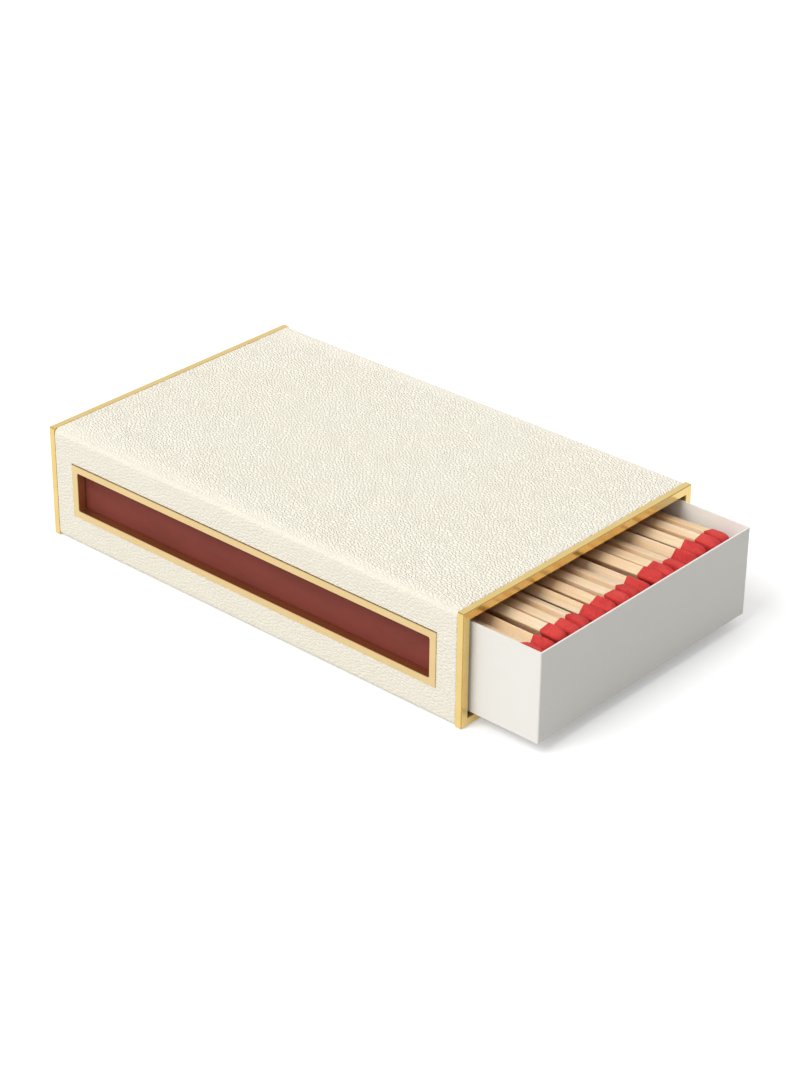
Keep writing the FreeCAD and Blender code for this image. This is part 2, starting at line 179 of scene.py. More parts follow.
def leather_outline(side, half, top):
    """Places and outward ways, in Y and Z, from the seam on the underside once round the wrap to the seam."""
    flat = half - LEATHER_BEND
    low_bend, high_bend = LEATHER_BEND, top - LEATHER_BEND
    seam_left, seam_right = LEATHER_SEAM
    runs = (
        [(y, 0, 0, -1) for y in stations(seam_right, flat, fine_start=True)],
        leather_bend(flat, low_bend, -QUARTER_TURN),
        [(half, z, 1, 0) for z in side],
        leather_bend(flat, high_bend, 0),
        [(-y, top, 0, 1) for y in stations(-flat, flat)],
        leather_bend(-flat, high_bend, QUARTER_TURN),
        [(-half, z, -1, 0) for z in reversed(side)],
        leather_bend(-flat, low_bend, 2 * QUARTER_TURN),
        [(y, 0, 0, -1) for y in stations(-flat, seam_left, fine_end=True)],
    )
    outline = []
    for run in runs:
        for point in run:
            if not outline or abs(outline[-1][0] - point[0]) + abs(outline[-1][1] - point[1]) > SAME_POINT:
                outline.append(point)
    return np.array(outline)


def wrap_faces(rows, columns, is_cut):
    """Faces of a sheet with a back: its cells but those cut out, and a wall along every free edge."""
    behind = rows * columns
    faces = []
    edge_uses = {}
    for i in range(rows - 1):
        for j in range(columns - 1):
            if is_cut[i, j]:
                continue
            quad = (i * columns + j, (i + 1) * columns + j, (i + 1) * columns + j + 1, i * columns + j + 1)
            faces.append(quad[::-1])
            faces.append(tuple(point + behind for point in quad))
            for a, b in zip(quad, quad[1:] + quad[:1]):
                edge_uses.setdefault(frozenset((a, b)), []).append((a, b))
    for uses in edge_uses.values():
        if len(uses) == 1:
            a, b = uses[0]
            faces.append((a, b, b + behind, a + behind))
    return faces


def grain_relief(x, ring, half):
    """How deep the grain is: flatter on the sides, round the bends and in a ragged band beside them."""
    to_rear = (x[-1] - x[:, None]) / (x[-1] - x[0])
    across = ring[:, 0]
    patches = [[Vector((place, y, 0)) / SMOOTH_BAND_PATCH for y in across] for place in x]
    ragged = np.array([[noise.noise(patch) for patch in row] for row in patches])
    narrow, wide = SMOOTH_BAND
    band = (narrow + (wide - narrow) * to_rear**2) * (1 + SMOOTH_BAND_WANDER_SHARE * ragged)
    inwards = np.clip((half - LEATHER_BEND - np.abs(across))[None, :] / band, 0, 1)
    eased = inwards**2 * (3 - 2 * inwards)
    open_grain = BEND_RELIEF_SHARE + (1 - BEND_RELIEF_SHARE) * eased
    return open_grain + (SIDE_RELIEF_SHARE - open_grain) * np.abs(ring[:, 2])


def make_leather_wrap():
    """The leather strip: one skin round the tube, with rounded lips at its ends, seam and window cuts."""
    low, high = (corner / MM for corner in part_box("leather_cover"))
    frame_low, frame_high = (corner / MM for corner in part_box("near_window_frame"))
    cut_x = frame_high.x + LEATHER_CUT_GAP
    cut_low = frame_low.z - LEATHER_CUT_GAP
    cut_high = frame_high.z + LEATHER_TOP_GAP
    half, top = high.y, high.z
    seam_left, seam_right = LEATHER_SEAM

    side = (
        stations(LEATHER_BEND, cut_low, fine_end=True)
        + stations(cut_low, cut_high)[1:]
        + stations(cut_high, top - LEATHER_BEND, fine_start=True)[1:]
    )
    lengthwise = (
        stations(low.x, -cut_x, fine_start=True, fine_end=True)
        + stations(-cut_x, cut_x)[1:]
        + stations(cut_x, high.x, fine_start=True, fine_end=True)[1:]
    )
    ring = leather_outline(side, half, top)
    x = np.array(lengthwise)
    rows, columns = len(x), len(ring)
    skin = np.zeros((rows, columns, 3))
    skin[:, :, 0] = x[:, None]
    skin[:, :, 1:] = ring[None, :, :2]
    outward = np.zeros_like(skin)
    outward[:, :, 1:] = ring[None, :, 2:]

    # rounded lips along the ends, the seam and the window cuts
    to_end = (high.x - np.abs(x))[:, None]
    under = ring[:, 3] < -SQUARE_SHARE
    to_seam = np.where(under, np.maximum(ring[:, 0] - seam_right, seam_left - ring[:, 0]), top)[None, :]
    beside = np.abs(ring[:, 2]) > SQUARE_SHARE
    past_x = np.maximum(np.abs(x) - cut_x, 0)[:, None]
    past_z = np.maximum(np.maximum(cut_low - ring[:, 1], ring[:, 1] - cut_high), 0)[None, :]
    to_cut = np.where(beside[None, :], np.hypot(past_x, past_z), top)
    to_edge = np.minimum(np.broadcast_to(to_end, to_cut.shape), to_seam)
    lips = np.maximum(lip_drop(to_edge, LEATHER_LIP), lip_drop(to_cut, LEATHER_CUT_LIP))
    wave = np.array([[0.5 + noise.noise(Vector(p) / LEATHER_WAVE_LENGTH) / 2 for p in row] for row in skin])
    face = skin - outward * (lips + LEATHER_WAVE * wave)[:, :, None]
    back = skin - outward * LEATHER_THICKNESS
    points = np.concatenate([face.reshape(-1, 3), back.reshape(-1, 3)])

    in_cut_x = np.abs(x[:-1] + x[1:]) / 2 < cut_x
    middle_z = (ring[:-1, 1] + ring[1:, 1]) / 2
    in_cut_z = (cut_low < middle_z) & (middle_z < cut_high) & beside[:-1] & beside[1:]
    faces = wrap_faces(rows, columns, in_cut_x[:, None] & in_cut_z[None, :])
    used = sorted({point for face_points in faces for point in face_points})
    renumbered = {old: new for new, old in enumerate(used)}
    faces = [tuple(renumbered[point] for point in face_points) for face_points in faces]
    piece = new_piece(
        "leather_wrap", points[used], faces, "holder", "leather_cover", SHARP_ANGLES["leather"]
    )

    steps = np.hypot(*np.diff(ring[:, :2], axis=0).T)
    places = np.zeros((rows, columns, 3))
    places[:, :, 0] = x[:, None]
    places[:, :, 1] = np.concatenate([[0], np.cumsum(steps)])[None, :]
    keep_places(piece, "wrap_place", np.concatenate([places.reshape(-1, 3)] * 2)[used])
    turn = np.broadcast_to(np.abs(ring[:, 2]), (rows, columns))
    keep_shares(piece, "wrap_relief", np.concatenate([grain_relief(x, ring, half).ravel()] * 2)[used])
    keep_shares(piece, "wrap_turn", np.concatenate([turn.ravel()] * 2)[used])
    return piece


def corners_of(node):
    """The corners of a solid, in millimetres."""
    return np.array([vertex.co for vertex in nodes[node].data.vertices]) / MM


def lie_of(node):
    """Where a match stick lies: the middle of its tail, the ways along and across it, and its length."""
    corners = corners_of(node)
    middle = corners.mean(axis=0)
    rear = corners[corners[:, 0] < middle[0]].mean(axis=0)
    front = corners[corners[:, 0] > middle[0]].mean(axis=0)
    length = np.linalg.norm(front - rear)
    along = (front - rear) / length
    spoke = corners[0] - rear if corners[0, 0] < middle[0] else corners[0] - front
    spoke -= along * spoke.dot(along)
    across = spoke + np.cross(along, spoke)
    across /= np.linalg.norm(across)
    return rear, along, across, np.cross(along, across), length


def loft(rings):
    """Points and faces of a closed skin over rings of equally many points."""
    count = len(rings[0])
    faces = []
    for k in range(len(rings) - 1):
        for j in range(count):
            a, b = k * count + j, k * count + (j + 1) % count
            faces.append((a, b, b + count, a + count))
    faces.append(tuple(reversed(range(count))))
    faces.append(tuple(range((len(rings) - 1) * count, len(rings) * count)))
    return np.concatenate(rings), faces


def make_stick(number):
    """A sawn wooden stick: square with its edges broken, a little bowed and uneven, its tail cut a little
    askew.
    """
    node = f"match_{number:02d}_stick"
    tail, along, across, upward, length = lie_of(node)
    draw = np.random.default_rng(STICK_SEED + number)
    half = np.abs((corners_of(node) - tail) @ across).max() * draw.uniform(*STICK_SIDE_SHARES)
    length -= STICK_IN_HEAD
    bow = draw.uniform(-STICK_BOW, STICK_BOW, 2)
    tone = draw.uniform(0, STICK_TONES)
    tone_along, tone_across = STICK_TONE_STEP
    rings = []
    places = []
    for station in np.linspace(0, 1, STICK_STATIONS):
        sag = 4 * station * (1 - station) * bow
        ring = []
        for side in range(4):
            cut = STICK_EDGE_BREAK * draw.uniform(*STICK_EDGE_SHARES)
            turn = QUARTER_TURN * side
            for end in (-1, 1):
                u = half - STICK_FACE_EASE
                v = end * (half - cut)
                y = u * math.cos(turn) - v * math.sin(turn)
                z = u * math.sin(turn) + v * math.cos(turn)
                ring.append((y + sag[0], z + sag[1]))
        ring = np.array(ring)
        distance = np.full(len(ring), station * length)
        if station == 0:
            distance += ring @ draw.uniform(-STICK_TAIL_SKEW, STICK_TAIL_SKEW, 2) + STICK_TAIL_TRIM
        rings.append(
            tail + np.outer(distance, along) + np.outer(ring[:, 0], across) + np.outer(ring[:, 1], upward)
        )
        places.append(np.column_stack([distance + tone * tone_along, ring + tone * tone_across]))
    points, faces = loft(rings)
    name = f"match_{number:02d}_splint"
    piece = new_piece(name, points, faces, "tray", node, SHARP_ANGLES["stick"])
    keep_places(piece, "stick_place", np.concatenate(places))
    return piece


def rounded_square(half, corner):
    """Points of a square with rounded corners."""
    inner = (half - corner) * math.sqrt(2)
    points = []
    for quarter in range(4):
        middle = QUARTER_TURN * quarter + QUARTER_TURN / 2
        for step in range(HEAD_CORNER_STEPS + 1):
            angle = QUARTER_TURN * (quarter + step / HEAD_CORNER_STEPS)
            y = inner * math.cos(middle) + corner * math.cos(angle)
            z = inner * math.sin(middle) + corner * math.sin(angle)
            points.append((y, z))
    return np.array(points)


def make_head(number):
    """A dipped head: a soft square coat over the stick's end, thin at its back, lumpy, with a blunt tip."""
    node = f"match_{number:02d}_head"
    tail, along, across, upward, _ = lie_of(f"match_{number:02d}_stick")
    corners = corners_of(node) - tail
    reach = corners @ along
    back, tip = reach.min(), reach.max()
    draw = np.random.default_rng(HEAD_SEED + number)
    half = np.abs(corners @ across).max() * draw.uniform(*HEAD_SIDE_SHARES)
    back += draw.uniform(-HEAD_BACK_WANDER, HEAD_BACK_WANDER)
    tip -= draw.uniform(0, HEAD_TIP_WANDER)
    lump_shift = Vector((number * HEAD_LUMP_SHIFT, 0, 0))
    rings = []
    for share, drawn_in, corner in HEAD_PROFILE:
        ring = rounded_square(half - drawn_in, corner)
        distance = np.full(len(ring), back + share * (tip - back))
        centre = tail + np.outer(distance, along)
        skin = centre + np.outer(ring[:, 0], across) + np.outer(ring[:, 1], upward)
        lumps = np.array([noise.noise(Vector(p) * HEAD_LUMPS_PER_MM + lump_shift) for p in skin])
        lump_share = HEAD_LUMP_SHARE * (HEAD_BACK_LUMP_SHARE if share < HEAD_BACK_SHARE else 1)
        ring *= (1 - lump_share * (0.5 + lumps / 2))[:, None]
        centre += np.outer(HEAD_BACK_EDGE * lumps * max(0, 1 - share / HEAD_BACK_EDGE_SHARE), along)
        rings.append(centre + np.outer(ring[:, 0], across) + np.outer(ring[:, 1], upward))
    points, faces = loft(rings)
    name = f"match_{number:02d}_dipped_head"
    return new_piece(name, points, faces, "tray", node, SHARP_ANGLES["head"])


# --- Node work ----------------------------------------------------------------------------------------------


def add_node(tree, kind, inputs=None, **settings):
    """A node with its settings, and its inputs set to a value or linked to another node's output."""
    made = tree.nodes.new(kind)
    for name, value in settings.items():
        setattr(made, name, value)
    for name, value in (inputs or {}).items():
        if isinstance(value, bpy.types.NodeSocket):
            tree.links.new(value, made.inputs[name])
        else:
            made.inputs[name].default_value = value
    return made


def sum_of(tree, operation, first, second, clamp=False):
    """The result of one piece of arithmetic."""
    inputs = {0: first, 1: second}
    return add_node(tree, "ShaderNodeMath", inputs, operation=operation, use_clamp=clamp).outputs[0]


def vector_sum(tree, operation, first, second, result="Vector"):
    """The result of one piece of arithmetic on places."""
    return add_node(tree, "ShaderNodeVectorMath", {0: first, 1: second}, operation=operation).outputs[result]


def scaled(tree, place, factor):
    """A place times a factor."""
    return add_node(tree, "ShaderNodeVectorMath", {0: place, "Scale": factor}, operation="SCALE").outputs[0]


def axes_of(tree, place):
    """The parts of a place along X, Y and Z."""
    return add_node(tree, "ShaderNodeSeparateXYZ", {0: place}).outputs


def mixed_colour(tree, factor, first, second):
    """One colour laid over another by a factor."""
    return add_node(tree, "ShaderNodeMix", {0: factor, 6: first, 7: second}, data_type="RGBA").outputs[2]


def ranged(tree, value, low, high, to_low=0.0, to_high=1.0, smooth=True):
    """A value spread from one range to another."""
    inputs = {"Value": value, "From Min": low, "From Max": high, "To Min": to_low, "To Max": to_high}
    kind = "SMOOTHSTEP" if smooth else "LINEAR"
    return add_node(tree, "ShaderNodeMapRange", inputs, interpolation_type=kind).outputs[0]


def stretched(tree, place, size, turn=0.0):
    """A place divided by a cell's size in each direction, turned in the plane of the sheet."""
    inputs = {"Vector": place, "Angle": turn}
    turned = add_node(tree, "ShaderNodeVectorRotate", inputs, rotation_type="Z_AXIS").outputs[0]
    return vector_sum(tree, "DIVIDE", turned, size)


def mottle(tree, place, size, detail=2.0, roughness=0.5, distortion=0.0):
    """Soft noise of a cell size, from 0 to 1."""
    inputs = {
        "Vector": stretched(tree, place, size),
        "Scale": 1.0,
        "Detail": detail,
        "Roughness": roughness,
        "Distortion": distortion,
    }
    return add_node(tree, "ShaderNodeTexNoise", inputs).outputs[0]


def new_group(name, inputs, outputs):
    """An empty node group with named sockets."""
    group = bpy.data.node_groups.new(name, "ShaderNodeTree")
    kinds = {"value": "NodeSocketFloat", "place": "NodeSocketVector", "colour": "NodeSocketColor"}
    for socket, kind in inputs.items():
        group.interface.new_socket(socket, in_out="INPUT", socket_type=kinds[kind])
    for socket, kind in outputs.items():
        group.interface.new_socket(socket, in_out="OUTPUT", socket_type=kinds[kind])
    return group, group.nodes.new("NodeGroupInput").outputs, group.nodes.new("NodeGroupOutput").inputs


def use_group(tree, group, inputs):
    """A group placed in a material with its own values."""
    return add_node(tree, "ShaderNodeGroup", inputs, node_tree=group).outputs


def make_tone_drift():
    """Slow drift of a colour towards a second one."""
    inputs = {
        "Place": "place",
        "Size": "place",
        "Colour": "colour",
        "Second Colour": "colour",
        "Amount": "value",
    }
    group, given, result = new_group("tone_drift", inputs, {"Colour": "colour", "Mask": "value"})
    cloud = mottle(group, given["Place"], given["Size"], detail=3.0, roughness=0.55)
    mask = ranged(group, cloud, low=0.3, high=0.7)
    share = sum_of(group, "MULTIPLY", mask, given["Amount"])
    group.links.new(mixed_colour(group, share, given["Colour"], given["Second Colour"]), result["Colour"])
    group.links.new(mask, result["Mask"])
    return group


def make_fine_tooth():
    """Fine tooth of leather, card, grit or dried paste: a height and a mask of its deepest pits."""
    inputs = {"Place": "place", "Size": "place"}
    group, given, result = new_group("fine_tooth", inputs, {"Height": "value", "Pits": "value"})
    tooth = mottle(group, given["Place"], given["Size"], detail=4.0, roughness=0.65)
    group.links.new(tooth, result["Height"])
    group.links.new(ranged(group, tooth, low=0.46, high=0.32), result["Pits"])
    return group


def make_long_streaks():
    """Long thin streaks, such as polishing lines, fibres or wood grain."""
    inputs = {"Place": "place", "Size": "place", "Fine Size": "place"}
    group, given, result = new_group("long_streaks", inputs, {"Streaks": "value", "Fine Streaks": "value"})
    broad = mottle(group, given["Place"], given["Size"], detail=3.0, roughness=0.6, distortion=0.3)
    fine = mottle(group, given["Place"], given["Fine Size"], detail=3.0, roughness=0.7)
    group.links.new(broad, result["Streaks"])
    group.links.new(fine, result["Fine Streaks"])
    return group


def make_painted_edge_shade():
    """Painted shade along square edges: one on the narrow slopes that break them, and nought on the flat
    faces.
    """
    group, given, result = new_group("painted_edge_shade", {"Facing": "place"}, {"Mask": "value"})
    size = add_node(group, "ShaderNodeVectorMath", {0: given["Facing"]}, operation="ABSOLUTE").outputs[0]
    axes = axes_of(group, size)
    largest = sum_of(group, "MAXIMUM", sum_of(group, "MAXIMUM", axes["X"], axes["Y"]), axes["Z"])
    group.links.new(ranged(group, largest, low=0.96, high=0.76), result["Mask"])
    return group


tone_drift = make_tone_drift()
fine_tooth = make_fine_tooth()
long_streaks = make_long_streaks()
painted_edge_shade = make_painted_edge_shade()


def drifting(tree, place, size, colours, amount):
    """A colour that drifts towards a second one, in clouds of a size."""
    first, second = colours
    inputs = {"Place": place, "Size": size, "Colour": first, "Second Colour": second, "Amount": amount}
    return use_group(tree, tone_drift, inputs)


def toothed(tree, place, size):
    """Fine tooth of a size."""
    return use_group(tree, fine_tooth, {"Place": place, "Size": size})


def streaked(tree, place, size, fine_size):
    """Long streaks of two sizes."""
    return use_group(tree, long_streaks, {"Place": place, "Size": size, "Fine Size": fine_size})


def new_material(name):
    """A material with its shader ready."""
    material = bpy.data.materials.new(name)
    material.use_nodes = True
    tree = material.node_tree
    return material, tree, tree.nodes["Principled BSDF"]


def solid_place(tree):
    """The place on a piece, in millimetres."""
    return scaled(tree, add_node(tree, "ShaderNodeTexCoord").outputs["Object"], 1 / MM)


def kept_place(tree, name):
    """The place that a piece keeps for its material, in millimetres."""
    return add_node(tree, "ShaderNodeAttribute", attribute_name=name).outputs["Vector"]


def kept_share(tree, name):
    """The share that a piece keeps for its material."""
    return add_node(tree, "ShaderNodeAttribute", attribute_name=name).outputs["Fac"]


def set_finish(tree, shader, colour, roughness, specular):
    """Give a shader its colour, its roughness and its plain gloss."""
    tree.links.new(colour, shader.inputs["Base Color"])
    tree.links.new(roughness, shader.inputs["Roughness"])
    shader.inputs["Specular IOR Level"].default_value = specular


def bumped(tree, shader, height, depth, strength=1.0):
    """Raise a shader's surface by a height, to a depth in millimetres."""
    inputs = {"Height": height, "Distance": depth * MM, "Strength": strength}
    tree.links.new(add_node(tree, "ShaderNodeBump", inputs).outputs[0], shader.inputs["Normal"])


# --- Materials ----------------------------------------------------------------------------------------------

# Leather: colours, then sizes in millimetres
CREAM = ((0.893, 0.855, 0.736, 1), (0.893, 0.847, 0.719, 1))
CREAM_CLOUD = (24.0, 19.0, 20.0)
# Painted shade: a darker cream where the grain lies flatter beside the bends, and round the bends themselves
BEND_SHADE_CREAM = (0.77, 0.725, 0.618, 1)
FLAT_BAND_SHADE_SHARE = 0.36
# Painted shade: the leather's sides are painted a darker cream than its top
SIDE_SHADE_CREAM = (0.772, 0.729, 0.621, 1)
# Painted shade: a darker cream in the creases between pebbles
CREASE_SHADE_CREAM = (0.68, 0.62, 0.5, 1)
CREASE_SHADE_SHARE = 0.2
CREASE_WIDTH = 0.5
PEBBLE_SIZE = (1.06, 0.7, 1)
PEBBLE_TURN = -0.31
PEBBLE_PULLS = ((6.0, 0.8), (1.5, 0.32))
PEBBLE_SHOULDER = 0.36
PEBBLE_DEPTH = 0.235
PEBBLE_PATCH = (5.0, 6.0, 4.0)
PEBBLE_PATCH_RANGE = (0.25, 0.75)
PEBBLE_PATCH_SHARES = (0.92, 1.0)
CLOUD_MIDDLE = (0.5, 0.5, 0.5)
PORE_SIZE = (0.26, 0.3, 1.0)
PORE_SHARE = 0.35
LEATHER_ROUGHNESS = (0.6, 0.42)
LEATHER_GLOSS = 0.45

# Brass: colours, then sizes in millimetres
# Painted shade and dark reflections: a dark brown laid on the brass's edge chamfers
EDGE_SHADE_COLOUR = (0.36, 0.22, 0.05, 1)
# Painted shade and reflection: a dark red-brown inside the window's reveal, standing in for its shade and the
# striker's red mirrored in it
REVEAL_SHADE = (0.34, 0.11, 0.04, 1)
REVEAL_SHADE_SHARE = 0.16
SATIN_ROUGHNESS = 0.3
SATIN_EDGE = 0.1
SATIN_FROM_MIDDLE = 35.05
BRASS_CLOUD = (9.0, 9.0, 6.0)
BRASS_CLOUD_SHARE = 0.7
FINE_LINE_SHARE = 0.3
LINE_ROUGHNESS = 0.05
LINE_ROUGHNESS_MIDDLE = 0.02
HANDLING_ROUGHNESS = 0.03
BRASS_RIPPLE = (4.5, 4.5, 4.5)
BRASS_RIPPLE_HEIGHT = 9.0
BRASS_DEPTH = 0.004
BRASS_BUMP = 0.6

# Card, in millimetres
CARD_TOOTH = (0.35, 0.35, 0.35)
CARD_FIBRES = (9.0, 1.1, 1.1)
CARD_FINE_FIBRES = (1.6, 0.24, 0.24)
CARD_FIBRE_RANGE = (0.56, 0.7)
CARD_CLOUD = (4.0, 1.6, 1.6)
CARD_CLOUD_SHARE = 0.8
CARD_ROUGHNESS = (0.5, 0.66)
CARD_GLOSS = 0.3
CARD_DEPTH = 0.012
LEAST_INWARDS = -1.0

# Wood: colours, then sizes in millimetres
# Painted shade: the sticks turn browner towards their tails, standing in for the shade under the holder's
# front frame
TAIL_SHADE_BROWN = (0.62, 0.255, 0.05, 1)
TAIL_SHADE_RUN = (66.0, 50.0)
TAIL_SHADE_SHARE = 0.38
GROWTH_BAND = (0.68, 0.45, 0.21, 1)
GROWTH_BAND_RANGE = (0.45, 0.72)
GROWTH_BAND_SHARE = 0.35
WOOD_PORE = (0.55, 0.33, 0.14, 1)
WOOD_PORE_RANGE = (0.58, 0.78)
WOOD_PORE_SHARE = 0.3
WOOD_GRAIN = (22.0, 0.55, 0.55)
WOOD_FINE_GRAIN = (7.0, 0.13, 0.13)
WOOD_CLOUD = (40.0, 1.3, 1.3)
WOOD_ROUGHNESS = (0.6, 0.75)
WOOD_GLOSS = 0.12
WOOD_DEPTH = 0.03
WOOD_GLOW = 0.35
WOOD_GLOW_RADIUS = (1.0, 0.25, 0.08)
WOOD_GLOW_REACH = 2.5

# Share of the pits' dark that shows in a gritty coat, and the heights between which a tooth changes gloss
PIT_SHARE = 0.5
TOOTH_RANGE = (0.2, 0.8)


def make_leather():
    """Cream goatskin: small drawn-out pebbles, flatter on the sides and round the bends, with painted shade
    on the sides, round the bends and in the creases.
    """
    material, tree, shader = new_material("cream_pebbled_leather")
    flat = kept_place(tree, "wrap_place")
    relief = kept_share(tree, "wrap_relief")
    turn = kept_share(tree, "wrap_turn")

    place = flat
    for size, pull in PEBBLE_PULLS:
        inputs = {"Vector": stretched(tree, flat, (size, size, size)), "Scale": 1.0, "Detail": 1.0}
        cloud = add_node(tree, "ShaderNodeTexNoise", inputs).outputs["Color"]
        centred = vector_sum(tree, "SUBTRACT", cloud, CLOUD_MIDDLE)
        place = vector_sum(tree, "ADD", place, scaled(tree, centred, pull))
    cells = {"Vector": stretched(tree, place, PEBBLE_SIZE, PEBBLE_TURN), "Scale": 1.0, "Randomness": 1.0}
    kind = {"voronoi_dimensions": "2D", "feature": "DISTANCE_TO_EDGE"}
    edge = add_node(tree, "ShaderNodeTexVoronoi", cells, **kind).outputs["Distance"]
    pebble = ranged(tree, edge, 0.0, PEBBLE_SHOULDER)
    patch = mottle(tree, flat, PEBBLE_PATCH, detail=1.0)
    patch_depth = ranged(tree, patch, *PEBBLE_PATCH_RANGE, *PEBBLE_PATCH_SHARES)
    depth = sum_of(tree, "MULTIPLY", patch_depth, relief)
    pores = sum_of(tree, "MULTIPLY", toothed(tree, flat, PORE_SIZE)["Height"], PORE_SHARE)
    height = sum_of(tree, "ADD", sum_of(tree, "MULTIPLY", pebble, depth), pores)

    drift = drifting(tree, flat, CREAM_CLOUD, CREAM, 1.0)
    # Painted shade: darker where the grain is flatter, making up for its missing crease shadows, and darker
    # round the bends
    flat_band_shade = ranged(tree, relief, 1.0, BEND_RELIEF_SHARE, 0.0, FLAT_BAND_SHADE_SHARE, smooth=False)
    with_flat_band_shade = mixed_colour(tree, flat_band_shade, drift["Colour"], BEND_SHADE_CREAM)
    # Painted shade on the sides
    with_side_shade = mixed_colour(tree, turn, with_flat_band_shade, SIDE_SHADE_CREAM)
    bend_shade_mask = sum_of(tree, "MULTIPLY", turn, sum_of(tree, "SUBTRACT", 1.0, turn))
    with_bend_shade = mixed_colour(tree, sum_of(tree, "MULTIPLY", bend_shade_mask, 4.0), with_side_shade, BEND_SHADE_CREAM)
    # Painted shade in the creases between pebbles
    crease_shade = sum_of(tree, "MULTIPLY", ranged(tree, pebble, 0.0, CREASE_WIDTH, CREASE_SHADE_SHARE, 0.0), depth)
    colour = mixed_colour(tree, crease_shade, with_bend_shade, CREASE_SHADE_CREAM)
    set_finish(tree, shader, colour, ranged(tree, pebble, 0.0, 1.0, *LEATHER_ROUGHNESS), LEATHER_GLOSS)
    bumped(tree, shader, height, PEBBLE_DEPTH)
    return material


def make_brass(name, colours, roughness, lines, edge_shade_share, satin_inside=None):
    """Polished brass with polishing lines and handling marks, painted shade and dark reflections on its
    edges, left satin inside a window with painted shade and red reflection there.
    """
    material, tree, shader = new_material(name)
    place = solid_place(tree)
    shader.inputs["Metallic"].default_value = 1.0
    fine_lines = streaked(tree, place, lines, tuple(size * FINE_LINE_SHARE for size in lines))["Fine Streaks"]
    drift = drifting(tree, place, BRASS_CLOUD, colours, BRASS_CLOUD_SHARE)
    facing = add_node(tree, "ShaderNodeNewGeometry").outputs["True Normal"]
    edges = use_group(tree, painted_edge_shade, {"Facing": facing})
    # Painted shade and dark reflections on the edge chamfers
    edge_shade = sum_of(tree, "MULTIPLY", edges["Mask"], edge_shade_share)
    metal = mixed_colour(tree, edge_shade, drift["Colour"], EDGE_SHADE_COLOUR)
    line_marks = sum_of(tree, "MULTIPLY", fine_lines, LINE_ROUGHNESS)
    marks = sum_of(tree, "ADD", line_marks, roughness - LINE_ROUGHNESS_MIDDLE)
    polish = sum_of(tree, "ADD", marks, sum_of(tree, "MULTIPLY", drift["Mask"], HANDLING_ROUGHNESS))
    if satin_inside:
        depth = sum_of(tree, "ABSOLUTE", axes_of(tree, place)["Y"], 0.0)
        satin = ranged(tree, depth, satin_inside, satin_inside - SATIN_EDGE)
        polish = sum_of(tree, "ADD", polish, sum_of(tree, "MULTIPLY", satin, SATIN_ROUGHNESS))
        # Painted shade and red reflection inside the reveal
        metal = mixed_colour(tree, sum_of(tree, "MULTIPLY", satin, REVEAL_SHADE_SHARE), metal, REVEAL_SHADE)
    tree.links.new(metal, shader.inputs["Base Color"])
    tree.links.new(polish, shader.inputs["Roughness"])
    ripple = sum_of(tree, "MULTIPLY", mottle(tree, place, BRASS_RIPPLE, detail=1.0), BRASS_RIPPLE_HEIGHT)
    bumped(tree, shader, sum_of(tree, "ADD", ripple, fine_lines), BRASS_DEPTH, BRASS_BUMP)
    return material


def make_card(name, colours, fibre_colour, fibre_share, painted_light_inner_colour=None):
    """Smooth board with short fibres in its face, with painted light that makes the walls facing the middle
    of a tray whiter.
    """
    material, tree, shader = new_material(name)
    place = solid_place(tree)
    tooth = toothed(tree, place, CARD_TOOTH)
    fibres = streaked(tree, place, CARD_FIBRES, CARD_FINE_FIBRES)
    drift = drifting(tree, place, CARD_CLOUD, colours, CARD_CLOUD_SHARE)
    speck = sum_of(tree, "MAXIMUM", tooth["Pits"], ranged(tree, fibres["Fine Streaks"], *CARD_FIBRE_RANGE))
    colour = mixed_colour(tree, sum_of(tree, "MULTIPLY", speck, fibre_share), drift["Colour"], fibre_colour)
    # Painted light: the walls that face the middle of the tray are painted whiter than the rest
    if painted_light_inner_colour:
        facing = add_node(tree, "ShaderNodeTexCoord").outputs["Normal"]
        level = vector_sum(tree, "MULTIPLY", place, (1, 1, 0))
        outwards = vector_sum(tree, "DOT_PRODUCT", level, facing, result="Value")
        colour = mixed_colour(tree, sum_of(tree, "LESS_THAN", outwards, LEAST_INWARDS), colour, painted_light_inner_colour)
    set_finish(tree, shader, colour, ranged(tree, tooth["Height"], *TOOTH_RANGE, *CARD_ROUGHNESS), CARD_GLOSS)
    bumped(tree, shader, tooth["Height"], CARD_DEPTH)
    return material


def make_gritty_coat(name, grit, cloud, colours, cloud_share, pit_colour, roughness, gloss, depth):
    """A matte coat with fine grit, darker in its pits: striking compound or match paste."""
    material, tree, shader = new_material(name)
    place = solid_place(tree)
    tooth = toothed(tree, place, (grit, grit, grit))
    drift = drifting(tree, place, cloud, colours, cloud_share)
    pits = sum_of(tree, "MULTIPLY", tooth["Pits"], PIT_SHARE)
    colour = mixed_colour(tree, pits, drift["Colour"], pit_colour)
    set_finish(tree, shader, colour, ranged(tree, tooth["Height"], *TOOTH_RANGE, *roughness), gloss)
    bumped(tree, shader, tooth["Height"], depth)
    return material


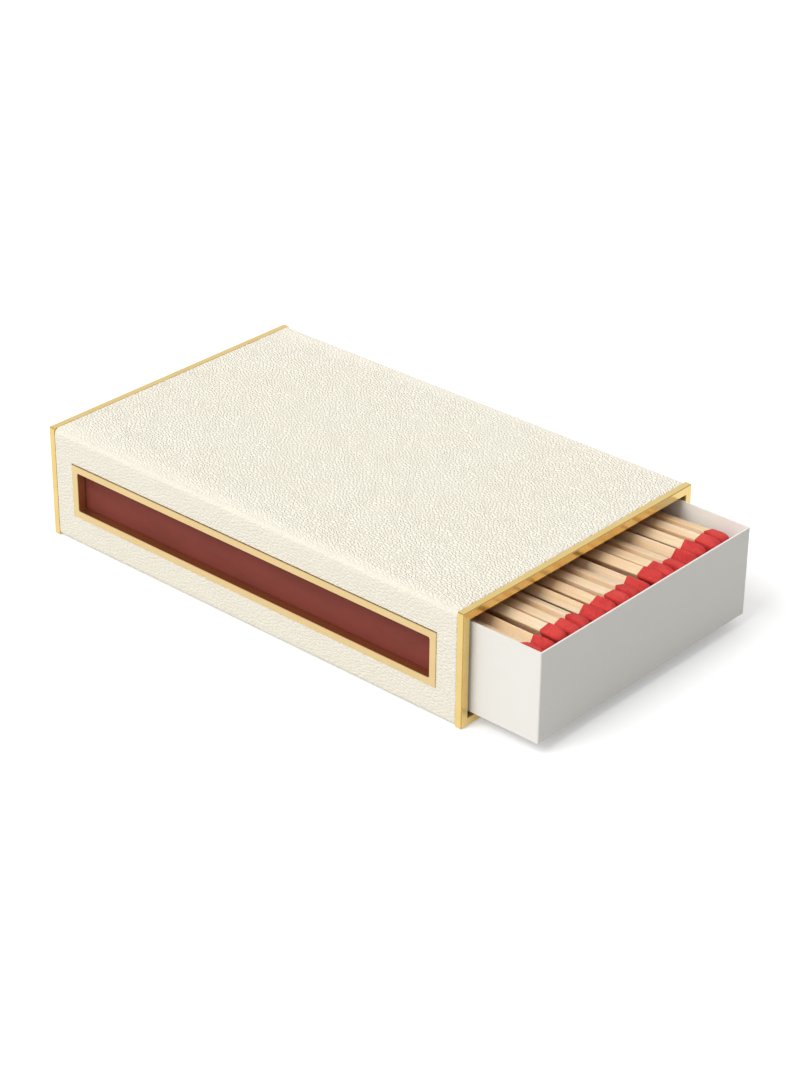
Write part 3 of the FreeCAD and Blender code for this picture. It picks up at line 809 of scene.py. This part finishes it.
def make_wood(name, place_from, colours):
    """Pale aspen: fine straight grain along the stick, each of its own tone, with painted shade that makes it
    warmer and browner towards the tail.
    """
    material, tree, shader = new_material(name)
    place = place_from(tree)
    grain = streaked(tree, place, WOOD_GRAIN, WOOD_FINE_GRAIN)
    drift = drifting(tree, place, WOOD_CLOUD, colours, 1.0)
    # Painted shade: browner towards the tail, along the piece's X
    lengthwise = axes_of(tree, solid_place(tree))["X"]
    tail_shade_mask = ranged(tree, lengthwise, *TAIL_SHADE_RUN, to_high=TAIL_SHADE_SHARE)
    with_tail_shade = mixed_colour(tree, tail_shade_mask, drift["Colour"], TAIL_SHADE_BROWN)
    band = ranged(tree, grain["Streaks"], *GROWTH_BAND_RANGE, to_high=GROWTH_BAND_SHARE)
    warm = mixed_colour(tree, band, with_tail_shade, GROWTH_BAND)
    pore = ranged(tree, grain["Fine Streaks"], *WOOD_PORE_RANGE, to_high=WOOD_PORE_SHARE)
    colour = mixed_colour(tree, pore, warm, WOOD_PORE)
    roughness = ranged(tree, grain["Fine Streaks"], *TOOTH_RANGE, *WOOD_ROUGHNESS)
    set_finish(tree, shader, colour, roughness, WOOD_GLOSS)
    shader.inputs["Subsurface Weight"].default_value = WOOD_GLOW
    shader.inputs["Subsurface Radius"].default_value = WOOD_GLOW_RADIUS
    shader.inputs["Subsurface Scale"].default_value = WOOD_GLOW_REACH * MM
    bumped(tree, shader, grain["Fine Streaks"], WOOD_DEPTH)
    return material


# --- The object ---------------------------------------------------------------------------------------------


def dress(piece, material):
    """Give a piece one material."""
    piece.data.materials.clear()
    piece.data.materials.append(material)


leather = make_leather()
frame_brass = make_brass(
    "polished_brass",
    colours=((0.785, 0.59, 0.25, 1), (0.745, 0.535, 0.18, 1)),
    roughness=0.17,
    lines=(0.5, 30.0, 30.0),
    edge_shade_share=0.7,
)
window_brass = make_brass(
    "window_brass",
    colours=((0.735, 0.555, 0.285, 1), (0.71, 0.53, 0.255, 1)),
    roughness=0.05,
    lines=(30.0, 0.5, 0.5),
    edge_shade_share=0.25,
    satin_inside=SATIN_FROM_MIDDLE,
)
# The tray's inner walls get a whiter colour as painted light
tray_card = make_card(
    "white_tray_card",
    colours=((0.735, 0.717, 0.67, 1), (0.73, 0.71, 0.661, 1)),
    fibre_colour=(0.64, 0.62, 0.572, 1),
    fibre_share=0.12,
    painted_light_inner_colour=(0.88, 0.862, 0.81, 1),
)
sleeve_card = make_card(
    "brown_sleeve_card",
    colours=((0.5, 0.335, 0.19, 1), (0.475, 0.312, 0.173, 1)),
    fibre_colour=(0.3, 0.18, 0.085, 1),
    fibre_share=0.3,
)
striker_coat = make_gritty_coat(
    "maroon_striking_coat",
    grit=0.22,
    cloud=(12.0, 5.0, 5.0),
    colours=((0.2, 0.044, 0.032, 1), (0.176, 0.039, 0.028, 1)),
    cloud_share=1.0,
    pit_colour=(0.12, 0.024, 0.02, 1),
    roughness=(0.55, 0.75),
    gloss=0.15,
    depth=0.03,
)
top_wood = make_wood(
    "top_row_aspen",
    place_from=lambda tree: kept_place(tree, "stick_place"),
    colours=((0.81, 0.657, 0.482, 1), (0.763, 0.57, 0.364, 1)),
)
# Painted shade: the buried rows' wood is darker and more orange than the top row's, so the gaps between the
# top sticks look warm and shaded
buried_wood_painted_shade = make_wood(
    "buried_aspen_painted_shade",
    place_from=solid_place,
    colours=((0.72, 0.35, 0.11, 1), (0.62, 0.27, 0.075, 1)),
)
head_paste = make_gritty_coat(
    "red_match_paste",
    grit=0.4,
    cloud=(3.0, 2.2, 2.2),
    colours=((0.61, 0.058, 0.05, 1), (0.47, 0.032, 0.033, 1)),
    cloud_share=0.9,
    pit_colour=(0.34, 0.014, 0.018, 1),
    roughness=(0.55, 0.72),
    gloss=0.18,
    depth=0.08,
)

dress(make_leather_wrap(), leather)
for node in ("front_end_frame", "rear_end_frame", "liner_tube"):
    dress(nodes[node], frame_brass)
for node in ("near_window_frame", "far_window_frame"):
    dress(nodes[node], window_brass)
dress(nodes["matchbox_sleeve"], sleeve_card)
dress(nodes["matchbox_tray"], tray_card)
for node in ("near_striker", "far_striker"):
    dress(nodes[node], striker_coat)
top_row = sum(name.startswith("match_") and name.endswith("_stick") for name in nodes)
for number in range(1, top_row + 1):
    dress(make_stick(number), top_wood)
    dress(make_head(number), head_paste)
for node in nodes:
    if node.startswith("buried_row"):
        dress(nodes[node], buried_wood_painted_shade if node.endswith("sticks") else head_paste)


# --- Floor, light and camera --------------------------------------------------------------------------------

# In metres
FLOOR_REACH = 3.0
FLOOR_LEVEL = -0.00004
FLOOR_GREY = (0.74, 0.74, 0.74, 1)
FLOOR_ROUGHNESS = 0.9
FLOOR_LIFT = 0.3

# The room's light falls off towards +X, so that the front of the tray lies in soft shade
ROOM_WHITE = (1, 1, 1, 1)
ROOM_TURN = (0.35, 0.88)
ROOM_LIGHT = (0.87, 0.06)
LAMP_FROM = (-0.13, -0.62, 0.77)
LAMP_STRENGTH = 1.9
LAMP_SPREAD = 34

# The camera: metres and degrees, and millimetres for its sensor and lens
CAMERA_PLACE = (0.33050, -0.36287, 0.27671)
CAMERA_TURN = (61.179, -0.567, 41.771)
CAMERA_SENSOR = 36.0
CAMERA_LENS = 91.43
CAMERA_NEAREST = 0.01


def seen_rays(tree):
    """One where a surface is seen straight, reflected or through glass, and nought where it only lights."""
    rays = add_node(tree, "ShaderNodeLightPath").outputs
    seen = sum_of(tree, "ADD", rays["Is Camera Ray"], rays["Is Glossy Ray"])
    return sum_of(tree, "ADD", seen, rays["Is Transmission Ray"], clamp=True)


def make_floor():
    """A wide white floor that shows the object's shadow."""
    mesh = bpy.data.meshes.new("floor")
    ways = ((-1, -1), (1, -1), (1, 1), (-1, 1))
    corners = [(x * FLOOR_REACH, y * FLOOR_REACH, FLOOR_LEVEL) for x, y in ways]
    mesh.from_pydata(corners, [], [(0, 1, 2, 3)])
    floor = bpy.data.objects.new("floor", mesh)
    bpy.context.scene.collection.objects.link(floor)
    material, tree, shader = new_material("white_floor")
    shader.inputs["Base Color"].default_value = FLOOR_GREY
    shader.inputs["Roughness"].default_value = FLOOR_ROUGHNESS
    shader.inputs["Specular IOR Level"].default_value = 0.0
    strength = sum_of(tree, "MULTIPLY", seen_rays(tree), FLOOR_LIFT)
    lift = add_node(tree, "ShaderNodeEmission", {"Strength": strength})
    both = add_node(tree, "ShaderNodeAddShader", {0: shader.outputs[0], 1: lift.outputs[0]})
    tree.links.new(both.outputs[0], tree.nodes["Material Output"].inputs["Surface"])
    dress(floor, material)


def make_light():
    """A white room that fills from all sides but the front, and one broad lamp above the long side."""
    world = bpy.data.worlds.new("white_room")
    bpy.context.scene.world = world
    world.use_nodes = True
    tree = world.node_tree
    background = tree.nodes["Background"]
    background.inputs["Color"].default_value = ROOM_WHITE
    way = add_node(tree, "ShaderNodeTexCoord").outputs["Generated"]
    room = ranged(tree, axes_of(tree, way)["X"], *ROOM_TURN, *ROOM_LIGHT)
    strength = add_node(tree, "ShaderNodeMix", {0: seen_rays(tree), 2: room, 3: 1.0}).outputs[0]
    tree.links.new(strength, background.inputs["Strength"])
    sun = bpy.data.lights.new("broad_lamp", "SUN")
    sun.energy = LAMP_STRENGTH
    sun.angle = math.radians(LAMP_SPREAD)
    lamp = bpy.data.objects.new("broad_lamp", sun)
    lamp.rotation_euler = Vector(LAMP_FROM).to_track_quat("Z", "Y").to_euler()
    lamp.visible_glossy = False
    bpy.context.scene.collection.objects.link(lamp)


def make_camera():
    """The camera, above the near front corner."""
    lens = bpy.data.cameras.new("camera")
    lens.sensor_fit = "AUTO"
    lens.sensor_width = CAMERA_SENSOR
    lens.lens = CAMERA_LENS
    lens.clip_start = CAMERA_NEAREST
    camera = bpy.data.objects.new("camera", lens)
    camera.location = CAMERA_PLACE
    camera.rotation_euler = [math.radians(turn) for turn in CAMERA_TURN]
    bpy.context.scene.collection.objects.link(camera)
    bpy.context.scene.camera = camera


make_floor()
make_light()
make_camera()
bpy.context.scene.view_settings.view_transform = "Standard"
